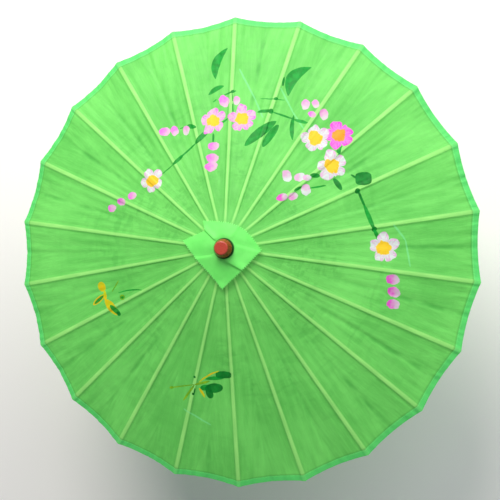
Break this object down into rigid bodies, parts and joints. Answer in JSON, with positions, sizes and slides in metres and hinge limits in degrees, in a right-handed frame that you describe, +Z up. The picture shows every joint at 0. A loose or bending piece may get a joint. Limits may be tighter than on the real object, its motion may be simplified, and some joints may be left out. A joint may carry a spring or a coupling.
{
  "type": "parasol",
  "caption": "Folding round parasol: thin cloth canopy on split bamboo ribs, stretchers and a sliding runner on a wooden stick with a turned finial and grip.",
  "frame": {"origin": "centre of the handle grip's flat end, on the stick's axis", "axes": "+Z up the stick to the finial; +X along the first rib, seen from above"},
  "size_m": [0.82, 0.8116, 0.5315],
  "materials": {
    "canopy_cloth": "thin translucent plain weave, satin",
    "cap_cloth": "thin plain weave with pinked edges",
    "red_wood": "turned wood under clear red-brown lacquer",
    "stick_wood": "smooth, thinly varnished",
    "hub_wood": "turned and slotted, bare",
    "rib_bamboo": "split bamboo, long fibres",
    "stretcher_bamboo": "split bamboo, long fibres",
    "thread": "waxed twisted thread",
    "steel": "drawn steel wire and strip"
  },
  "bodies": {
    "root": {"stick": "stick_wood", "handle_grip": "red_wood", "upper_hub": "hub_wood", "hub_thread": "thread", "hub_pin": "steel", "canopy": "canopy_cloth", "cap_cloth": "cap_cloth", "finial": "red_wood", "catch_pin": "steel"},
    "rib_01": {"rib_01": "rib_bamboo"},
    "rib_02": {"rib_02": "rib_bamboo"},
    "rib_03": {"rib_03": "rib_bamboo"},
    "rib_04": {"rib_04": "rib_bamboo"},
    "rib_05": {"rib_05": "rib_bamboo"},
    "rib_06": {"rib_06": "rib_bamboo"},
    "rib_07": {"rib_07": "rib_bamboo"},
    "rib_08": {"rib_08": "rib_bamboo"},
    "rib_09": {"rib_09": "rib_bamboo"},
    "rib_10": {"rib_10": "rib_bamboo"},
    "rib_11": {"rib_11": "rib_bamboo"},
    "rib_12": {"rib_12": "rib_bamboo"},
    "rib_13": {"rib_13": "rib_bamboo"},
    "rib_14": {"rib_14": "rib_bamboo"},
    "rib_15": {"rib_15": "rib_bamboo"},
    "rib_16": {"rib_16": "rib_bamboo"},
    "rib_17": {"rib_17": "rib_bamboo"},
    "rib_18": {"rib_18": "rib_bamboo"},
    "rib_19": {"rib_19": "rib_bamboo"},
    "rib_20": {"rib_20": "rib_bamboo"},
    "rib_21": {"rib_21": "rib_bamboo"},
    "rib_22": {"rib_22": "rib_bamboo"},
    "stretcher_01": {"stretcher_01": "stretcher_bamboo"},
    "stretcher_02": {"stretcher_02": "stretcher_bamboo"},
    "stretcher_03": {"stretcher_03": "stretcher_bamboo"},
    "stretcher_04": {"stretcher_04": "stretcher_bamboo"},
    "stretcher_05": {"stretcher_05": "stretcher_bamboo"},
    "stretcher_06": {"stretcher_06": "stretcher_bamboo"},
    "stretcher_07": {"stretcher_07": "stretcher_bamboo"},
    "stretcher_08": {"stretcher_08": "stretcher_bamboo"},
    "stretcher_09": {"stretcher_09": "stretcher_bamboo"},
    "stretcher_10": {"stretcher_10": "stretcher_bamboo"},
    "stretcher_11": {"stretcher_11": "stretcher_bamboo"},
    "stretcher_12": {"stretcher_12": "stretcher_bamboo"},
    "stretcher_13": {"stretcher_13": "stretcher_bamboo"},
    "stretcher_14": {"stretcher_14": "stretcher_bamboo"},
    "stretcher_15": {"stretcher_15": "stretcher_bamboo"},
    "stretcher_16": {"stretcher_16": "stretcher_bamboo"},
    "stretcher_17": {"stretcher_17": "stretcher_bamboo"},
    "stretcher_18": {"stretcher_18": "stretcher_bamboo"},
    "stretcher_19": {"stretcher_19": "stretcher_bamboo"},
    "stretcher_20": {"stretcher_20": "stretcher_bamboo"},
    "stretcher_21": {"stretcher_21": "stretcher_bamboo"},
    "stretcher_22": {"stretcher_22": "stretcher_bamboo"},
    "runner": {"runner": "hub_wood", "runner_thread": "thread"},
    "catch": {"catch_spring": "steel"}
  },
  "joints": [
    {"name": "fold", "type": "hinge", "parent": "root", "child": "rib_01", "pos_m": [0.014, 0, 0.50467], "axis": [0, 1, 0], "range_deg": [0, 73], "deforming": ["canopy", "cap_cloth"]},
    {"name": "fold_02", "type": "hinge", "parent": "root", "child": "rib_02", "pos_m": [0.01343, 0.00394, 0.50467], "axis": [-0.2817, 0.9595, 0], "range_deg": [0, 73]},
    {"name": "fold_03", "type": "hinge", "parent": "root", "child": "rib_03", "pos_m": [0.01178, 0.00757, 0.50467], "axis": [-0.5406, 0.8413, 0], "range_deg": [0, 73]},
    {"name": "fold_04", "type": "hinge", "parent": "root", "child": "rib_04", "pos_m": [0.00917, 0.01058, 0.50467], "axis": [-0.7557, 0.6549, 0], "range_deg": [0, 73]},
    {"name": "fold_05", "type": "hinge", "parent": "root", "child": "rib_05", "pos_m": [0.00582, 0.01273, 0.50467], "axis": [-0.9096, 0.4154, 0], "range_deg": [0, 73]},
    {"name": "fold_06", "type": "hinge", "parent": "root", "child": "rib_06", "pos_m": [0.00199, 0.01386, 0.50467], "axis": [-0.9898, 0.1423, 0], "range_deg": [0, 73]},
    {"name": "fold_07", "type": "hinge", "parent": "root", "child": "rib_07", "pos_m": [-0.00199, 0.01386, 0.50467], "axis": [-0.9898, -0.1423, 0], "range_deg": [0, 73]},
    {"name": "fold_08", "type": "hinge", "parent": "root", "child": "rib_08", "pos_m": [-0.00582, 0.01273, 0.50467], "axis": [-0.9096, -0.4154, 0], "range_deg": [0, 73]},
    {"name": "fold_09", "type": "hinge", "parent": "root", "child": "rib_09", "pos_m": [-0.00917, 0.01058, 0.50467], "axis": [-0.7557, -0.6549, 0], "range_deg": [0, 73]},
    {"name": "fold_10", "type": "hinge", "parent": "root", "child": "rib_10", "pos_m": [-0.01178, 0.00757, 0.50467], "axis": [-0.5406, -0.8413, 0], "range_deg": [0, 73]},
    {"name": "fold_11", "type": "hinge", "parent": "root", "child": "rib_11", "pos_m": [-0.01343, 0.00394, 0.50467], "axis": [-0.2817, -0.9595, 0], "range_deg": [0, 73]},
    {"name": "fold_12", "type": "hinge", "parent": "root", "child": "rib_12", "pos_m": [-0.014, 0, 0.50467], "axis": [0, -1, 0], "range_deg": [0, 73]},
    {"name": "fold_13", "type": "hinge", "parent": "root", "child": "rib_13", "pos_m": [-0.01343, -0.00394, 0.50467], "axis": [0.2817, -0.9595, 0], "range_deg": [0, 73]},
    {"name": "fold_14", "type": "hinge", "parent": "root", "child": "rib_14", "pos_m": [-0.01178, -0.00757, 0.50467], "axis": [0.5406, -0.8413, 0], "range_deg": [0, 73]},
    {"name": "fold_15", "type": "hinge", "parent": "root", "child": "rib_15", "pos_m": [-0.00917, -0.01058, 0.50467], "axis": [0.7557, -0.6549, 0], "range_deg": [0, 73]},
    {"name": "fold_16", "type": "hinge", "parent": "root", "child": "rib_16", "pos_m": [-0.00582, -0.01273, 0.50467], "axis": [0.9096, -0.4154, 0], "range_deg": [0, 73]},
    {"name": "fold_17", "type": "hinge", "parent": "root", "child": "rib_17", "pos_m": [-0.00199, -0.01386, 0.50467], "axis": [0.9898, -0.1423, 0], "range_deg": [0, 73]},
    {"name": "fold_18", "type": "hinge", "parent": "root", "child": "rib_18", "pos_m": [0.00199, -0.01386, 0.50467], "axis": [0.9898, 0.1423, 0], "range_deg": [0, 73]},
    {"name": "fold_19", "type": "hinge", "parent": "root", "child": "rib_19", "pos_m": [0.00582, -0.01273, 0.50467], "axis": [0.9096, 0.4154, 0], "range_deg": [0, 73]},
    {"name": "fold_20", "type": "hinge", "parent": "root", "child": "rib_20", "pos_m": [0.00917, -0.01058, 0.50467], "axis": [0.7557, 0.6549, 0], "range_deg": [0, 73]},
    {"name": "fold_21", "type": "hinge", "parent": "root", "child": "rib_21", "pos_m": [0.01178, -0.00757, 0.50467], "axis": [0.5406, 0.8413, 0], "range_deg": [0, 73]},
    {"name": "fold_22", "type": "hinge", "parent": "root", "child": "rib_22", "pos_m": [0.01343, -0.00394, 0.50467], "axis": [0.2817, 0.9595, 0], "range_deg": [0, 73]},
    {"name": "arm_01", "type": "hinge", "parent": "rib_01", "child": "stretcher_01", "pos_m": [0.18343, 0, 0.46085], "axis": [0, 1, 0], "range_deg": [-146, 0]},
    {"name": "arm_02", "type": "hinge", "parent": "rib_02", "child": "stretcher_02", "pos_m": [0.176, 0.05168, 0.46085], "axis": [-0.2817, 0.9595, 0], "range_deg": [-146, 0]},
    {"name": "arm_03", "type": "hinge", "parent": "rib_03", "child": "stretcher_03", "pos_m": [0.15431, 0.09917, 0.46085], "axis": [-0.5406, 0.8413, 0], "range_deg": [-146, 0]},
    {"name": "arm_04", "type": "hinge", "parent": "rib_04", "child": "stretcher_04", "pos_m": [0.12012, 0.13862, 0.46085], "axis": [-0.7557, 0.6549, 0], "range_deg": [-146, 0]},
    {"name": "arm_05", "type": "hinge", "parent": "rib_05", "child": "stretcher_05", "pos_m": [0.0762, 0.16685, 0.46085], "axis": [-0.9096, 0.4154, 0], "range_deg": [-146, 0]},
    {"name": "arm_06", "type": "hinge", "parent": "rib_06", "child": "stretcher_06", "pos_m": [0.0261, 0.18156, 0.46085], "axis": [-0.9898, 0.1423, 0], "range_deg": [-146, 0]},
    {"name": "arm_07", "type": "hinge", "parent": "rib_07", "child": "stretcher_07", "pos_m": [-0.0261, 0.18156, 0.46085], "axis": [-0.9898, -0.1423, 0], "range_deg": [-146, 0]},
    {"name": "arm_08", "type": "hinge", "parent": "rib_08", "child": "stretcher_08", "pos_m": [-0.0762, 0.16685, 0.46085], "axis": [-0.9096, -0.4154, 0], "range_deg": [-146, 0]},
    {"name": "arm_09", "type": "hinge", "parent": "rib_09", "child": "stretcher_09", "pos_m": [-0.12012, 0.13862, 0.46085], "axis": [-0.7557, -0.6549, 0], "range_deg": [-146, 0]},
    {"name": "arm_10", "type": "hinge", "parent": "rib_10", "child": "stretcher_10", "pos_m": [-0.15431, 0.09917, 0.46085], "axis": [-0.5406, -0.8413, 0], "range_deg": [-146, 0]},
    {"name": "arm_11", "type": "hinge", "parent": "rib_11", "child": "stretcher_11", "pos_m": [-0.176, 0.05168, 0.46085], "axis": [-0.2817, -0.9595, 0], "range_deg": [-146, 0]},
    {"name": "arm_12", "type": "hinge", "parent": "rib_12", "child": "stretcher_12", "pos_m": [-0.18343, 0, 0.46085], "axis": [0, -1, 0], "range_deg": [-146, 0]},
    {"name": "arm_13", "type": "hinge", "parent": "rib_13", "child": "stretcher_13", "pos_m": [-0.176, -0.05168, 0.46085], "axis": [0.2817, -0.9595, 0], "range_deg": [-146, 0]},
    {"name": "arm_14", "type": "hinge", "parent": "rib_14", "child": "stretcher_14", "pos_m": [-0.15431, -0.09917, 0.46085], "axis": [0.5406, -0.8413, 0], "range_deg": [-146, 0]},
    {"name": "arm_15", "type": "hinge", "parent": "rib_15", "child": "stretcher_15", "pos_m": [-0.12012, -0.13862, 0.46085], "axis": [0.7557, -0.6549, 0], "range_deg": [-146, 0]},
    {"name": "arm_16", "type": "hinge", "parent": "rib_16", "child": "stretcher_16", "pos_m": [-0.0762, -0.16685, 0.46085], "axis": [0.9096, -0.4154, 0], "range_deg": [-146, 0]},
    {"name": "arm_17", "type": "hinge", "parent": "rib_17", "child": "stretcher_17", "pos_m": [-0.0261, -0.18156, 0.46085], "axis": [0.9898, -0.1423, 0], "range_deg": [-146, 0]},
    {"name": "arm_18", "type": "hinge", "parent": "rib_18", "child": "stretcher_18", "pos_m": [0.0261, -0.18156, 0.46085], "axis": [0.9898, 0.1423, 0], "range_deg": [-146, 0]},
    {"name": "arm_19", "type": "hinge", "parent": "rib_19", "child": "stretcher_19", "pos_m": [0.0762, -0.16685, 0.46085], "axis": [0.9096, 0.4154, 0], "range_deg": [-146, 0]},
    {"name": "arm_20", "type": "hinge", "parent": "rib_20", "child": "stretcher_20", "pos_m": [0.12012, -0.13862, 0.46085], "axis": [0.7557, 0.6549, 0], "range_deg": [-146, 0]},
    {"name": "arm_21", "type": "hinge", "parent": "rib_21", "child": "stretcher_21", "pos_m": [0.15431, -0.09917, 0.46085], "axis": [0.5406, 0.8413, 0], "range_deg": [-146, 0]},
    {"name": "arm_22", "type": "hinge", "parent": "rib_22", "child": "stretcher_22", "pos_m": [0.176, -0.05168, 0.46085], "axis": [0.2817, 0.9595, 0], "range_deg": [-146, 0]},
    {"name": "runner_slide", "type": "hinge", "parent": "stretcher_01", "child": "runner", "pos_m": [0.014, 0, 0.41703], "axis": [0, 1, 0], "range_deg": [0, 73]},
    {"name": "catch_press", "type": "hinge", "parent": "root", "child": "catch", "pos_m": [0, 0, 0.35373], "axis": [0, 1, 0], "range_deg": [-9, 0], "stiffness_Nm_per_rad": 0.05, "deforming": ["catch_spring"]}
  ],
  "couplings": [
    {"joint": "fold_02", "follows": "fold", "ratio": 1},
    {"joint": "fold_03", "follows": "fold", "ratio": 1},
    {"joint": "fold_04", "follows": "fold", "ratio": 1},
    {"joint": "fold_05", "follows": "fold", "ratio": 1},
    {"joint": "fold_06", "follows": "fold", "ratio": 1},
    {"joint": "fold_07", "follows": "fold", "ratio": 1},
    {"joint": "fold_08", "follows": "fold", "ratio": 1},
    {"joint": "fold_09", "follows": "fold", "ratio": 1},
    {"joint": "fold_10", "follows": "fold", "ratio": 1},
    {"joint": "fold_11", "follows": "fold", "ratio": 1},
    {"joint": "fold_12", "follows": "fold", "ratio": 1},
    {"joint": "fold_13", "follows": "fold", "ratio": 1},
    {"joint": "fold_14", "follows": "fold", "ratio": 1},
    {"joint": "fold_15", "follows": "fold", "ratio": 1},
    {"joint": "fold_16", "follows": "fold", "ratio": 1},
    {"joint": "fold_17", "follows": "fold", "ratio": 1},
    {"joint": "fold_18", "follows": "fold", "ratio": 1},
    {"joint": "fold_19", "follows": "fold", "ratio": 1},
    {"joint": "fold_20", "follows": "fold", "ratio": 1},
    {"joint": "fold_21", "follows": "fold", "ratio": 1},
    {"joint": "fold_22", "follows": "fold", "ratio": 1},
    {"joint": "arm_01", "follows": "fold", "ratio": -2},
    {"joint": "arm_02", "follows": "fold", "ratio": -2},
    {"joint": "arm_03", "follows": "fold", "ratio": -2},
    {"joint": "arm_04", "follows": "fold", "ratio": -2},
    {"joint": "arm_05", "follows": "fold", "ratio": -2},
    {"joint": "arm_06", "follows": "fold", "ratio": -2},
    {"joint": "arm_07", "follows": "fold", "ratio": -2},
    {"joint": "arm_08", "follows": "fold", "ratio": -2},
    {"joint": "arm_09", "follows": "fold", "ratio": -2},
    {"joint": "arm_10", "follows": "fold", "ratio": -2},
    {"joint": "arm_11", "follows": "fold", "ratio": -2},
    {"joint": "arm_12", "follows": "fold", "ratio": -2},
    {"joint": "arm_13", "follows": "fold", "ratio": -2},
    {"joint": "arm_14", "follows": "fold", "ratio": -2},
    {"joint": "arm_15", "follows": "fold", "ratio": -2},
    {"joint": "arm_16", "follows": "fold", "ratio": -2},
    {"joint": "arm_17", "follows": "fold", "ratio": -2},
    {"joint": "arm_18", "follows": "fold", "ratio": -2},
    {"joint": "arm_19", "follows": "fold", "ratio": -2},
    {"joint": "arm_20", "follows": "fold", "ratio": -2},
    {"joint": "arm_21", "follows": "fold", "ratio": -2},
    {"joint": "arm_22", "follows": "fold", "ratio": -2},
    {"joint": "runner_slide", "follows": "fold", "ratio": 1}
  ]
}
